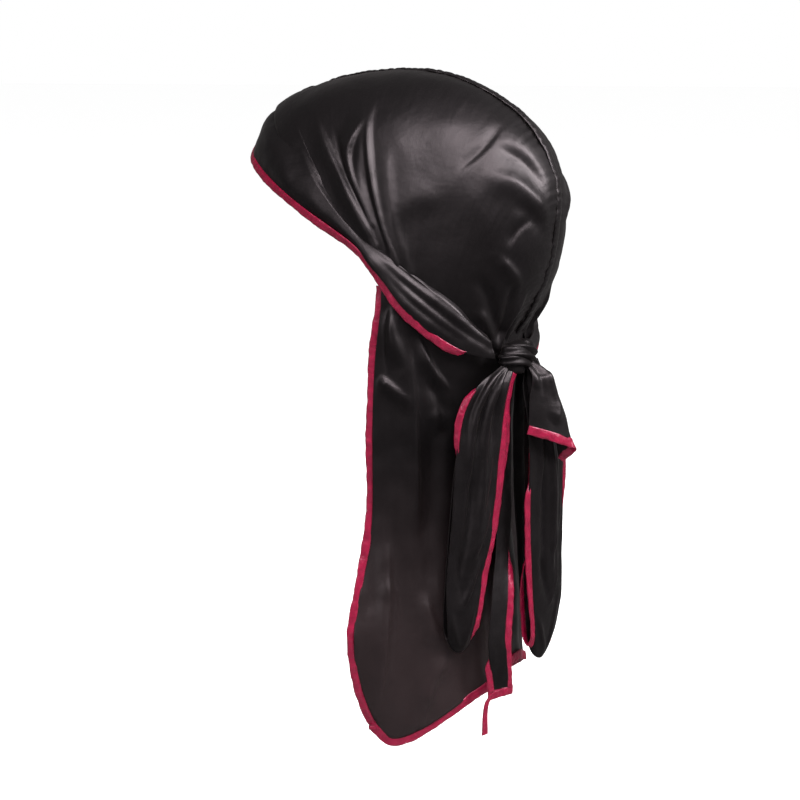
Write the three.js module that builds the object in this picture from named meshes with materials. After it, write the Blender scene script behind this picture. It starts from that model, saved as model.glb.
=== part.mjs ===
// A satin durag, tied as it is worn: a gathered crown of two panels with a seam over the
// head, straps that run from the forehead to a bow behind the neck, and a long neck flap,
// with a contrasting bias binding along the edges.
//
// Millimetres. +X is the wearer's left, +Y the back of the head and +Z up. The origin is on
// the inside of the crown, where it sits on the top of the head.
import * as THREE from "three";

// Crown
const crownReach = 110; // from the ear axis to the seam; a rib's reach is a share of it
const earAxisBack = 18;
const earAxisDown = 105;
const crownSquareness = 2.5; // 2 makes a rib an ellipse
const frontTurn = 31; // of the front edge, in degrees about the ear axis
const pleatTurn = 51; // of the line where a strap covers the gathered panel
const napeTurn = 215;

// Cloth
const clothWall = 1.2;
const bindingWall = 2.2;
const bindingWidth = 5;
const seamWidth = 5;
const seamWall = 1.8;
const gap = 0.35; // between a piece and the next one

// Straps, bow and flap
const strapLift = 2.6; // of a strap over the crown
const loopDrop = 178; // from the knot to the bottom of a loop
const tailDrop = 208; // from the knot to the end of the left strap
const flapDrop = 293; // from the crown's edge at the ear to the hem's lowest corner
const tagLength = 20;
const knotWidth = 41;
const knotDepth = 13;
const knotHeight = 23;
const knotTwist = 12; // about +Z, in degrees

const radians = Math.PI / 180;
const vector = (x, y, z) => new THREE.Vector3(x, y, z);
const clamp = (value, low, high) => Math.min(high, Math.max(low, value));
const mix = (a, b, share) => a + (b - a) * share;
const smooth = (from, to, value) => {
  const share = clamp((value - from) / (to - from), 0, 1);
  return share * share * (3 - 2 * share);
};

// The value of a column on a smooth curve through a table's rows, where its key is at.
function read(rows, key, column, at) {
  const last = rows.length - 1;
  let i = 0;
  while (i < last - 1 && rows[i + 1][key] < at) i++;
  const [a, b] = [rows[i], rows[i + 1]];
  const before = rows[Math.max(i - 1, 0)];
  const after = rows[Math.min(i + 2, last)];
  const span = b[key] - a[key];
  const share = clamp((at - a[key]) / span, 0, 1);
  const slopeA = ((b[column] - before[column]) / (b[key] - before[key])) * span;
  const slopeB = ((after[column] - a[column]) / (after[key] - a[key])) * span;
  const rise = b[column] - a[column];
  const bend = 3 * rise - 2 * slopeA - slopeB + share * (slopeA + slopeB - 2 * rise);
  return a[column] + share * (slopeA + share * bend);
}

function normalOf(surface, u, v) {
  const step = 1e-3;
  const alongU = surface(u + step, v).sub(surface(u - step, v));
  const alongV = surface(u, v + step).sub(surface(u, v - step));
  return alongU.cross(alongV).normalize();
}

// A surface with a table of folds. Each row is a ridge, or a groove where its height is
// below 0, along a line from one place on the surface to another. Width and height are in
// millimetres; start and end are the shares of the height at the line's two ends.
function folded(surface, rows) {
  const steps = 6;
  const lines = rows.map((row) => {
    const points = [];
    for (let i = 0; i <= steps; i++) {
      const share = i / steps;
      points.push(surface(mix(row.u0, row.u1, share), mix(row.v0, row.v1, share)));
    }
    return { row, points };
  });
  return (u, v) => {
    const point = surface(u, v);
    let lift = 0;
    for (const { row, points } of lines) {
      let nearest = Infinity;
      let along = 0;
      for (let i = 0; i < steps; i++) {
        const part = points[i + 1].clone().sub(points[i]);
        const share = clamp(point.clone().sub(points[i]).dot(part) / part.lengthSq(), 0, 1);
        const away = point.distanceTo(points[i].clone().addScaledVector(part, share));
        if (away < nearest) [nearest, along] = [away, (i + share) / steps];
      }
      const ends = mix(mix(row.start, 1, smooth(0, 0.5, along)), row.end, smooth(0.5, 1, along));
      lift += row.height * ends * Math.exp(-((nearest / row.width) ** 2));
    }
    return point.addScaledVector(normalOf(surface, u, v), lift);
  };
}

// A closed wall of one thickness around a part of a surface.
function wallOf(surface, { u, v, across, down, wall }) {
  const positions = [];
  const faces = [];
  const row = across + 1;
  const layer = row * (down + 1);
  for (const side of [0.5, -0.5])
    for (let j = 0; j <= down; j++)
      for (let i = 0; i <= across; i++) {
        const at = [mix(u[0], u[1], i / across), mix(v[0], v[1], j / down)];
        const point = surface(...at).addScaledVector(normalOf(surface, ...at), side * wall);
        positions.push(point.x, point.y, point.z);
      }
  const quad = (a, b, c, d) => faces.push(a, b, c, a, c, d);
  for (let j = 0; j < down; j++)
    for (let i = 0; i < across; i++) {
      const a = j * row + i;
      quad(a, a + 1, a + row + 1, a + row);
      quad(layer + a, layer + a + row, layer + a + row + 1, layer + a + 1);
    }
  for (let i = 0; i < across; i++) {
    const far = down * row + i;
    quad(i, layer + i, layer + i + 1, i + 1);
    quad(far, far + 1, layer + far + 1, layer + far);
  }
  for (let j = 0; j < down; j++) {
    const near = j * row;
    const far = near + across;
    quad(near, near + row, layer + near + row, layer + near);
    quad(far, layer + far, layer + far + row, far + row);
  }
  const geometry = new THREE.BufferGeometry();
  geometry.setAttribute("position", new THREE.Float32BufferAttribute(positions, 3));
  geometry.setIndex(faces);
  geometry.computeVertexNormals();
  return geometry;
}

// The strip beyond a surface's edge. path gives the place on the edge for 0 to 1, with the
// cloth on its right as seen from outside.
function edging(surface, path) {
  return (share, away) => {
    const step = 1e-3;
    const before = surface(...path(share - step));
    const ahead = surface(...path(share + step)).sub(before).normalize();
    const normal = normalOf(surface, ...path(share));
    const out = normal.clone().cross(ahead).normalize();
    return surface(...path(share)).addScaledVector(out, away);
  };
}

// Crown. A rib is a curve from the seam down to the rim, over one side of the head. Its turn
// is in degrees about the ear axis, from the forehead up and over to the nape; out, back and
// down are its lower end.
const ribs = [
  { turn: 27, reach: 1.012, out: 71, back: 14, down: 98 },
  { turn: 42, reach: 1.09, out: 71, back: 19, down: 101 },
  { turn: 60, reach: 1.025, out: 70.5, back: 27, down: 106 },
  { turn: 80, reach: 0.962, out: 69, back: 36, down: 113 },
  { turn: 100, reach: 0.957, out: 66, back: 46, down: 122 },
  { turn: 120, reach: 0.967, out: 60, back: 56, down: 132 },
  { turn: 140, reach: 0.986, out: 54.5, back: 65.5, down: 141 },
  { turn: 158, reach: 0.953, out: 46.5, back: 74, down: 149 },
  { turn: 175, reach: 0.885, out: 38, back: 81, down: 155 },
  { turn: 194, reach: 0.835, out: 27, back: 87.5, down: 160 },
  { turn: 215, reach: 0.81, out: 13, back: 91, down: 164 },
];

function seamPoint(turn) {
  const reach = crownReach * read(ribs, "turn", "reach", turn);
  const angle = turn * radians;
  return vector(0, earAxisBack - reach * Math.cos(angle), reach * Math.sin(angle) - earAxisDown);
}

function rimPoint(turn) {
  const [out, back, down] = ["out", "back", "down"].map((column) => read(ribs, "turn", column, turn));
  return vector(out, back, -down);
}

// side is 0 on the seam and 1 on the rim; beyond 1 it goes on down the head, 1 mm for each
// hundredth.
function crown(turn, side) {
  const rim = rimPoint(turn);
  if (side > 1) {
    const ahead = rimPoint(Math.min(turn + 1, napeTurn)).sub(rimPoint(Math.min(turn, napeTurn - 1)));
    const out = vector(rim.x / 76 ** 2, rim.y / 98 ** 2, 0).normalize();
    return rim.addScaledVector(ahead.cross(out).normalize(), (side - 1) * 100);
  }
  const seam = seamPoint(turn);
  const angle = Math.max(side, 1e-4) * 90 * radians;
  const rise = Math.cos(angle) ** (2 / crownSquareness);
  const point = vector(0, rim.y, rim.z).lerp(seam, rise);
  point.x = rim.x * Math.sin(angle) ** (2 / crownSquareness);
  return point;
}

// The side at which a rib is clear of the seam.
function seamSide(turn) {
  const out = (seamWidth / 2 + gap) / read(ribs, "turn", "out", turn);
  return Math.asin(out ** (crownSquareness / 2)) / (90 * radians);
}

const panel = (turn, rise) => crown(turn, mix(1, seamSide(turn), rise));

// u is the turn and v the share of the way from the rim up to the seam.
const crownFolds = [
  { u0: 58, v0: 0.5, u1: 60, v1: 0.1, width: 3.5, height: 1.4, start: 0, end: 0.1 },
  { u0: 65, v0: 0.5, u1: 74, v1: 0.1, width: 4, height: -3, start: 0, end: 0.6 },
  { u0: 74, v0: 0.45, u1: 77, v1: 0.1, width: 4, height: 1.4, start: 0, end: 0.1 },
  { u0: 79, v0: 0.42, u1: 83, v1: 0.08, width: 3.5, height: -2.6, start: 0, end: 0.6 },
  { u0: 85, v0: 0.62, u1: 88, v1: 0.08, width: 4, height: -2.6, start: 0, end: 0.7 },
  { u0: 98, v0: 0.4, u1: 96, v1: 0.1, width: 7, height: 1.4, start: 0, end: 0.1 },
  { u0: 133, v0: 0.84, u1: 125, v1: 0.38, width: 4, height: -1.6, start: 0.2, end: 0 },
  { u0: 139, v0: 0.64, u1: 154, v1: 0.84, width: 9, height: -4, start: 0.4, end: 0.6 },
  { u0: 136, v0: 0.5, u1: 170, v1: 0.85, width: 7, height: 1.8, start: 0.1, end: 0.1 },
  { u0: 162, v0: 0.66, u1: 160, v1: 0.4, width: 4, height: -2, start: 0.2, end: 0 },
  { u0: 160, v0: 0.32, u1: 186, v1: 0.48, width: 5, height: 1.6, start: 0.1, end: 0.3 },
  { u0: 170, v0: 0.2, u1: 195, v1: 0.08, width: 4, height: -2.4, start: 0.1, end: 0.6 },
  { u0: 198, v0: 0.55, u1: 208, v1: 0.25, width: 4, height: -1.8, start: 0.1, end: 0.6 },
];
const crownCloth = folded(panel, crownFolds);

// Straps. Each row is a section of a strap in the crown's own turn and side, from its lower
// edge to its upper one. lift is over the crown, strapLift where a row has none; bulge adds to
// it in the middle and flare at the lower edge, and in brings the end back to the knot.
const strapRows = [
  { along: 0, lowTurn: frontTurn, lowSide: 0, upTurn: 53, upSide: 0, bulge: 3.4, flare: 0 },
  { along: 0.04, lowTurn: frontTurn, lowSide: 0.06, upTurn: 53, upSide: 0.07, bulge: 3.4, flare: 0 },
  { along: 0.1, lowTurn: frontTurn, lowSide: 0.2, upTurn: 53, upSide: 0.24, bulge: 3.4, flare: 0 },
  { along: 0.2, lowTurn: frontTurn, lowSide: 0.42, upTurn: 53, upSide: 0.48, bulge: 3.4, flare: 0 },
  { along: 0.3, lowTurn: frontTurn, lowSide: 0.64, upTurn: 53, upSide: 0.7, bulge: 3.4, flare: 0 },
  { along: 0.4, lowTurn: frontTurn, lowSide: 0.82, upTurn: 54, upSide: 0.86, bulge: 1.6, flare: 0 },
  { along: 0.52, lowTurn: 36, lowSide: 1, upTurn: 64, upSide: 0.955, bulge: 1.6, flare: 0.6 },
  { along: 0.64, lowTurn: 80, lowSide: 1.07, upTurn: 84, upSide: 0.965, bulge: 2, flare: 2.4 },
  { along: 0.76, lowTurn: 118, lowSide: 1.12, upTurn: 112, upSide: 0.965, bulge: 2.2, flare: 3.4 },
  { along: 0.88, lowTurn: 158, lowSide: 1.12, upTurn: 148, upSide: 0.965, bulge: 2, flare: 3.4, lift: 3.2 },
  { along: 0.96, lowTurn: 185, lowSide: 1.09, upTurn: 176, upSide: 0.96, bulge: 1.4, flare: 3, lift: 7.5 },
  { along: 1, lowTurn: 200, lowSide: 1.05, upTurn: 194, upSide: 0.96, bulge: 1, flare: 2.4, lift: 9 },
  {
    along: 1.06, lowTurn: 214, lowSide: 1.03, upTurn: 212, upSide: 0.9,
    bulge: 0.6, flare: 1.6, lift: 9.5, in: 6.8,
  },
];
const strapStart = 0.012; // clear of the seam
const knotLeft = 0.976; // the left strap goes into the knot sooner than the right one
const knotRight = 1.06;
const strapSections = strapRows.map((row) => {
  const low = crown(row.lowTurn, row.lowSide);
  const up = crown(row.upTurn, row.upSide);
  return {
    along: row.along, bulge: row.bulge, flare: row.flare, lift: row.lift ?? strapLift,
    lowX: low.x - (row.in ?? 0), lowY: low.y, lowZ: low.z,
    upX: up.x - (row.in ?? 0), upY: up.y, upZ: up.z,
  };
});

// along goes from the forehead to the knot and rise from the lower edge to the upper one.
function strapSheet(along, rise) {
  const at = (column) => read(strapSections, "along", column, along);
  const low = vector(at("lowX"), at("lowY"), at("lowZ"));
  const up = vector(at("upX"), at("upY"), at("upZ"));
  const out = low.clone().add(up).sub(vector(0, 20, -210)).normalize();
  const lift = at("lift") + at("bulge") * 4 * rise * (1 - rise) + at("flare") * (1 - rise) ** 2;
  return low.lerp(up, rise).addScaledVector(out, lift);
}
const strapFolds = [
  { u0: 0.62, v0: 0.84, u1: 0.97, v1: 0.8, width: 2.6, height: 1.4, start: 0.2, end: 0.2 },
  { u0: 0.62, v0: 0.6, u1: 0.97, v1: 0.55, width: 2.4, height: -1.6, start: 0, end: 0.6 },
  { u0: 0.64, v0: 0.36, u1: 0.9, v1: 0.34, width: 3, height: 1.2, start: 0, end: 0 },
];
const strapCloth = folded(strapSheet, strapFolds);

// Flap. around is 0 behind the neck and 1 at the edge behind the ear. The top is on the
// crown, and the hem and the neck are sections lower down.
const flapRows = [
  {
    around: 0, topTurn: 215, topOut: 0, rise: 6, neckOut: 0, neckBack: 84,
    flareOut: 0, flareBack: 90, hemOut: 0, hemBack: 93, hem: 0.87
  },
  {
    around: 0.1, topTurn: 208, topOut: 0.8, rise: 0.5, neckOut: 10, neckBack: 83.5,
    flareOut: 11, flareBack: 89.5, hemOut: 12, hemBack: 92, hem: 0.875
  },
  {
    around: 0.25, topTurn: 186, topOut: 1, rise: 0, neckOut: 24, neckBack: 80,
    flareOut: 27, flareBack: 86, hemOut: 28, hemBack: 88, hem: 0.9
  },
  {
    around: 0.5, topTurn: 150, topOut: 1, rise: 0, neckOut: 45, neckBack: 69,
    flareOut: 50, flareBack: 74, hemOut: 50, hemBack: 75, hem: 0.94
  },
  {
    around: 0.75, topTurn: 112, topOut: 1, rise: 0, neckOut: 62, neckBack: 52,
    flareOut: 71, flareBack: 55, hemOut: 66, hemBack: 57, hem: 0.985
  },
  {
    around: 0.9, topTurn: 88, topOut: 1, rise: 0, neckOut: 69, neckBack: 39,
    flareOut: 85, flareBack: 39, hemOut: 74, hemBack: 44, hem: 1
  },
  {
    around: 1, topTurn: 72, topOut: 1, rise: 0, neckOut: 73, neckBack: 31,
    flareOut: 93, flareBack: 28, hemOut: 79, hemBack: 35, hem: 0.97
  },
];
const flapFall = [
  { fall: 0, neck: 0, flare: 0, hem: 0 },
  { fall: 0.07, neck: 0.1, flare: 0, hem: 0 },
  { fall: 0.18, neck: 0.7, flare: 0, hem: 0 },
  { fall: 0.32, neck: 1, flare: 0, hem: 0 },
  { fall: 0.54, neck: 0.94, flare: 0.06, hem: 0 },
  { fall: 0.67, neck: 0.4, flare: 0.6, hem: 0 },
  { fall: 0.78, neck: 0, flare: 1, hem: 0 },
  { fall: 0.9, neck: 0, flare: 0.75, hem: 0.25 },
  { fall: 1, neck: 0, flare: 0, hem: 1 },
];
function flapSheet(around, fall) {
  const at = (column) => read(flapRows, "around", column, Math.abs(around));
  const top = crown(at("topTurn"), 1.02);
  const [neck, flare, hem] = ["neck", "flare", "hem"].map((key) => read(flapFall, "fall", key, fall));
  const share = 1 - neck - flare - hem;
  const blend = (from, suffix) =>
    from * share + at(`neck${suffix}`) * neck + at(`flare${suffix}`) * flare + at(`hem${suffix}`) * hem;
  const out = blend(top.x * at("topOut"), "Out");
  const back = blend(top.y, "Back");
  return vector(Math.sign(around) * out, back, mix(top.z + at("rise"), -110 - flapDrop * at("hem"), fall));
}

// u is around and v the share of the fall; the right half has the same folds.
const flapFolds = [
  { u0: 0.93, v0: 0.06, u1: 0.92, v1: 0.2, width: 5, height: -2, start: 0, end: 0 },
  { u0: 0.92, v0: 0.08, u1: 0.8, v1: 0.17, width: 5, height: 1.6, start: 0, end: 0.2 },
  { u0: 0.78, v0: 0.1, u1: 0.71, v1: 0.53, width: 6, height: 2.6, start: 0, end: 0 },
  { u0: 0.94, v0: 0.215, u1: 0.76, v1: 0.23, width: 4, height: 1.6, start: 0, end: 0 },
  { u0: 0.7, v0: 0.1, u1: 0.49, v1: 0.17, width: 4, height: 1.8, start: 0, end: 0 },
  { u0: 0.64, v0: 0.23, u1: 0.55, v1: 0.29, width: 4, height: 1.6, start: 0, end: 0 },
  { u0: 0.6, v0: 0.25, u1: 0.65, v1: 0.85, width: 10, height: -4, start: 0, end: 0 },
  { u0: 0.99, v0: 0.46, u1: 0.87, v1: 0.66, width: 6, height: 2.8, start: 0, end: 1 },
  { u0: 0.87, v0: 0.66, u1: 0.92, v1: 0.95, width: 6, height: 2.8, start: 1, end: 0.3 },
  { u0: 0.52, v0: 0.83, u1: 0.73, v1: 0.98, width: 7, height: 2.6, start: 0, end: 0.3 },
  { u0: 0.42, v0: 0.3, u1: 0.4, v1: 0.95, width: 8, height: -3, start: 0, end: 0.5 },
  { u0: 0.22, v0: 0.4, u1: 0.2, v1: 0.95, width: 8, height: -3, start: 0, end: 0.6 },
];
const otherSide = (row) => ({ ...row, u0: -row.u0, u1: -row.u1 });
const flapCloth = folded(flapSheet, [...flapFolds, ...flapFolds.map(otherSide)]);

// Knot, and the bow and the ends that hang from it. Each row is a section of a ribbon: its
// middle, the share of the drop it has fallen, its width, and the way its width faces in
// degrees about +Z. cup bulges its middle outwards and tilt lowers its far edge.
const knotAt = vector(14.3, 99.7, -168);

function ribbonOf(rows, drop) {
  const at = (column, along) => (column in rows[0] ? read(rows, "along", column, along) : 0);
  const middle = (along) =>
    vector(at("out", along), at("back", along), knotAt.z - drop * at("fall", along));
  return (along, across) => {
    const ahead = middle(along + 1e-3).sub(middle(along - 1e-3));
    const angle = at("face", along) * radians;
    const width = vector(Math.cos(angle), Math.sin(angle), -at("tilt", along)).normalize();
    const out = ahead.cross(width).normalize();
    return middle(along)
      .addScaledVector(width, (across * at("width", along)) / 2)
      .addScaledVector(out, at("cup", along) * (1 - across ** 2));
  };
}

const loopLeftRows = [
  { along: 0, out: 31.5, back: 97, fall: 0.067, width: 9, face: 144, cup: 1 },
  { along: 0.07, out: 37, back: 92.5, fall: 0.1, width: 17, face: 144, cup: 3 },
  { along: 0.15, out: 42, back: 89, fall: 0.18, width: 26, face: 144, cup: 2 },
  { along: 0.25, out: 45, back: 87, fall: 0.33, width: 30, face: 144, cup: 1 },
  { along: 0.35, out: 48, back: 85, fall: 0.56, width: 28, face: 143, cup: 1 },
  { along: 0.43, out: 53, back: 82, fall: 0.78, width: 22, face: 140, cup: 1 },
  { along: 0.48, out: 55, back: 81.5, fall: 0.93, width: 16, face: 138, cup: 0.5 },
  { along: 0.505, out: 53, back: 79, fall: 1, width: 13, face: 138, cup: 0 },
  { along: 0.53, out: 50.5, back: 76, fall: 0.93, width: 16, face: 138, cup: 0 },
  { along: 0.6, out: 47, back: 77, fall: 0.72, width: 22, face: 140, cup: 0 },
  { along: 0.75, out: 42, back: 80, fall: 0.36, width: 27, face: 144, cup: 0 },
  { along: 0.9, out: 36, back: 85, fall: 0.15, width: 18, face: 144, cup: 0 },
  { along: 1, out: 27, back: 90, fall: 0.085, width: 8, face: 144, cup: 0 },
];
const loopRightRows = [
  { along: 0, out: 2, back: 103.5, fall: 0.067, width: 8, face: 166, cup: 1 },
  { along: 0.07, out: 0, back: 105, fall: 0.15, width: 16, face: 168, cup: 2 },
  { along: 0.15, out: -2, back: 109, fall: 0.22, width: 24, face: 170, cup: 1 },
  { along: 0.25, out: -3, back: 111.5, fall: 0.37, width: 28, face: 170, cup: 1 },
  { along: 0.35, out: -4, back: 112, fall: 0.6, width: 30, face: 170, cup: 1 },
  { along: 0.44, out: -6, back: 112, fall: 0.88, width: 29, face: 170, cup: 1 },
  { along: 0.485, out: -6, back: 111, fall: 1.04, width: 25, face: 170, cup: 0.5 },
  { along: 0.505, out: -6, back: 108, fall: 1.1, width: 22, face: 170, cup: 0 },
  { along: 0.53, out: -6, back: 105, fall: 1.04, width: 24, face: 170, cup: 0 },
  { along: 0.6, out: -5, back: 104, fall: 0.8, width: 27, face: 170, cup: 0 },
  { along: 0.75, out: -4, back: 104, fall: 0.42, width: 26, face: 170, cup: 0 },
  { along: 0.9, out: -1, back: 101.5, fall: 0.19, width: 16, face: 170, cup: 0 },
  { along: 1, out: 1, back: 99.5, fall: 0.075, width: 8, face: 166, cup: 0 },
];
const tailLeftRows = [
  { along: 0, out: 14.5, back: 94.5, fall: 0.06, width: 6, face: 166, cup: 0 },
  { along: 0.15, out: 15.5, back: 91, fall: 0.18, width: 12, face: 166, cup: 0.5 },
  { along: 0.4, out: 16, back: 91.6, fall: 0.4, width: 13, face: 166, cup: 0.5 },
  { along: 0.6, out: 20, back: 92.5, fall: 0.58, width: 13, face: 166, cup: 0.5 },
  { along: 0.75, out: 30, back: 96, fall: 0.72, width: 13, face: 150, cup: 0 },
  { along: 0.88, out: 36, back: 97, fall: 0.86, width: 13, face: 148, cup: 0 },
  { along: 1, out: 32, back: 98, fall: 1, width: 12, face: 152, cup: 0 },
];
const tailRightRows = [
  { along: 0, out: -7, back: 96, fall: 0.064, width: 6, face: 176, cup: 0 },
  { along: 0.2, out: -9, back: 93, fall: 0.22, width: 13, face: 178, cup: 1 },
  { along: 0.5, out: -12, back: 93, fall: 0.45, width: 18, face: 178, cup: 1 },
  { along: 0.8, out: -10, back: 95, fall: 0.7, width: 20, face: 176, cup: 1 },
  { along: 1, out: -8, back: 98, fall: 0.87, width: 18, face: 176, cup: 0 },
];
const turnRows = [
  { along: 0, out: 4, back: 110, fall: 0.03, width: 8, face: 160, cup: 1, tilt: 0 },
  { along: 0.3, out: 0.5, back: 112, fall: 0.09, width: 15, face: 166, cup: 3, tilt: 0.1 },
  { along: 0.65, out: -4, back: 114, fall: 0.2, width: 25, face: 168, cup: 5, tilt: 0.2 },
  { along: 1, out: -8, back: 117.5, fall: 0.33, width: 34, face: 170, cup: 6, tilt: 0.35 },
];
const loopFolds = [
  { u0: 0.04, v0: -0.4, u1: 0.2, v1: -0.45, width: 2.4, height: 1.4, start: 0.4, end: 0 },
  { u0: 0.04, v0: 0, u1: 0.26, v1: -0.05, width: 3, height: -2, start: 0.5, end: 0 },
  { u0: 0.04, v0: 0.4, u1: 0.22, v1: 0.4, width: 2.4, height: 1.6, start: 0.4, end: 0 },
  { u0: 0.24, v0: 0.45, u1: 0.46, v1: 0.3, width: 5, height: 1.8, start: 0, end: 0.2 },
  { u0: 0.2, v0: -0.5, u1: 0.44, v1: -0.35, width: 5, height: -2, start: 0, end: 0.2 },
];
const ribbons = [
  { name: "loop_left", rows: loopLeftRows, drop: loopDrop, steps: 30, across: 4, clear: 2 * gap },
  { name: "loop_right", rows: loopRightRows, drop: loopDrop, steps: 30, across: 4, clear: 2 * gap },
  { name: "tail_left", rows: tailLeftRows, drop: tailDrop, steps: 16, across: 3, clear: gap },
  { name: "tail_right", rows: tailRightRows, drop: tailDrop, steps: 12, across: 3, clear: gap },
];

const group = new THREE.Group();
const satin = new THREE.MeshStandardMaterial({ color: 0x1a1719, roughness: 0.35 });
const crimson = new THREE.MeshStandardMaterial({ color: 0xa8123f, roughness: 0.35 });
function add(name, geometry, material) {
  const mesh = new THREE.Mesh(geometry, material);
  mesh.name = name;
  group.add(mesh);
}

// The same geometry on the other side of the head.
function mirrored(geometry) {
  const copy = geometry.clone().scale(-1, 1, 1);
  const index = copy.getIndex();
  for (let i = 0; i < index.count; i += 3) {
    const first = index.getX(i);
    index.setX(i, index.getX(i + 2));
    index.setX(i + 2, first);
  }
  copy.computeVertexNormals();
  return copy;
}

const crownLeft = wallOf(crownCloth, {
  u: [pleatTurn, napeTurn], v: [0, 1], across: 30, down: 13, wall: clothWall,
});
add("crown_left", crownLeft, satin);
add("crown_right", mirrored(crownLeft), satin);
const strapTo = (end) =>
  wallOf(strapCloth, { u: [strapStart, end], v: [0, 1], across: 32, down: 5, wall: clothWall });
add("strap_left", strapTo(knotLeft), satin);
add("strap_right", mirrored(strapTo(knotRight)), satin);

// The seam stands a little above what it joins.
function seamRidge(turn, across) {
  const angle = turn * radians;
  const front = strapLift * (1 - smooth(pleatTurn, pleatTurn + 8, turn));
  const pucker = 0.4 * Math.sin(turn * 0.7) * (1 - across ** 2);
  const lift = 0.3 + 0.9 * (1 - across ** 2) + front + pucker;
  return seamPoint(turn)
    .add(vector(0, -Math.cos(angle), Math.sin(angle)).multiplyScalar(lift))
    .setX((-across * seamWidth) / 2);
}
const ridge = wallOf(seamRidge, {
  u: [frontTurn + 1, napeTurn], v: [-1, 1], across: 44, down: 2, wall: seamWall,
});
add("centre_seam", ridge, satin);

// Binding
function bind(name, surface, path, steps, { width = bindingWidth, from = 2 * gap } = {}) {
  const strip = edging(surface, path);
  const geometry = wallOf(strip, {
    u: [0, 1], v: [from, from + width], across: steps, down: 1, wall: bindingWall,
  });
  add(name, geometry, crimson);
}
const strapBoth = (along, rise) => {
  const point = strapSheet(Math.abs(along), rise);
  if (along < 0) point.x *= -1;
  return point;
};
bind("front_binding", strapBoth, (share) => [mix(knotLeft - 0.02, 0.02 - knotRight, share), 0], 72);

add("flap", wallOf(flapCloth, { u: [-1, 1], v: [0, 1], across: 26, down: 14, wall: clothWall }), satin);
bind("flap_binding_left", flapCloth, (share) => [1, mix(1, 0.04, share)], 14, { from: 4 * gap });
bind("flap_binding_right", flapCloth, (share) => [-1, mix(0.04, 1, share)], 14, { from: 4 * gap });
bind("flap_binding_hem", flapCloth, (share) => [mix(-1, 1, share), 1], 26);

for (const { name, rows, drop, steps, across, clear } of ribbons) {
  const sheet = folded(ribbonOf(rows, drop), name.startsWith("loop") ? loopFolds : []);
  const wall = { u: [0, 1], v: [-1, 1], across: steps, down: across, wall: clothWall };
  add(name, wallOf(sheet, wall), satin);
  bind(`${name}_binding_a`, sheet, (share) => [mix(1, 0, share), -1], steps, { from: clear });
  bind(`${name}_binding_b`, sheet, (share) => [mix(0, 1, share), 1], steps, { from: clear });
}
const tailSheet = ribbonOf(tailLeftRows, tailDrop);
bind("tail_left_binding_end", tailSheet, (share) => [1, mix(1.85, -1.85, share)], 4, { from: 3 * gap });
const tagRows = [
  { along: 0, out: 41.5, back: 93, fall: 0, width: 3, face: 152 },
  { along: 1, out: 43, back: 92.5, fall: 1, width: 4.5, face: 160 },
];
const tagTop = knotAt.z - tailDrop - bindingWidth - 5 * gap;
const tagSheet = (along, across) => {
  const point = ribbonOf(tagRows, tagLength)(along, across);
  return point.setZ(point.z + tagTop - knotAt.z);
};
add("tail_tag", wallOf(tagSheet, { u: [0, 1], v: [-1, 1], across: 4, down: 1, wall: bindingWall }), crimson);

const turnSheet = ribbonOf(turnRows, loopDrop);
add("bow_turn", wallOf(turnSheet, { u: [0, 1], v: [-1, 1], across: 9, down: 6, wall: clothWall }), satin);
bind("bow_turn_binding", turnSheet, (share) => [1, mix(1, -1, share)], 6, { from: 5 * gap });

// The straps wrapped round each other, a rounded block with ridges across it.
function knotSkin(around, rise) {
  const [a, b] = [around * 2 * Math.PI, (rise - 0.5) * Math.PI];
  const squared = (value) => Math.sign(value) * Math.abs(value) ** 0.55;
  const round = Math.cos(b) ** 0.5 * (1 + 0.05 * Math.sin(3 * a + 5 * rise));
  const point = vector(squared(Math.cos(a)) * round, squared(Math.sin(a)) * round, squared(Math.sin(b)));
  point.multiply(vector(knotWidth, knotDepth, knotHeight).multiplyScalar(0.5));
  return point.applyAxisAngle(vector(0, 0, 1), -knotTwist * radians).add(knotAt);
}
function closedBlock(skin, around, rise) {
  const positions = [];
  const faces = [];
  for (let j = 1; j < rise; j++)
    for (let i = 0; i < around; i++) {
      const point = skin(i / around, j / rise);
      positions.push(point.x, point.y, point.z);
    }
  const bottom = positions.length / 3;
  for (const end of [skin(0, 0), skin(0, 1)]) positions.push(end.x, end.y, end.z);
  const at = (i, j) => j * around + (i % around);
  for (let i = 0; i < around; i++) {
    faces.push(bottom, at(i + 1, 0), at(i, 0), bottom + 1, at(i, rise - 2), at(i + 1, rise - 2));
    for (let j = 0; j < rise - 2; j++) {
      const [a, b, c, d] = [at(i, j), at(i + 1, j), at(i + 1, j + 1), at(i, j + 1)];
      faces.push(a, b, c, a, c, d);
    }
  }
  const geometry = new THREE.BufferGeometry();
  geometry.setAttribute("position", new THREE.Float32BufferAttribute(positions, 3));
  geometry.setIndex(faces);
  geometry.computeVertexNormals();
  return geometry;
}
add("knot", closedBlock(knotSkin, 14, 9), satin);

export default group;
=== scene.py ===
import math

import bmesh
import bpy
import numpy as np
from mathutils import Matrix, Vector, noise


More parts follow.
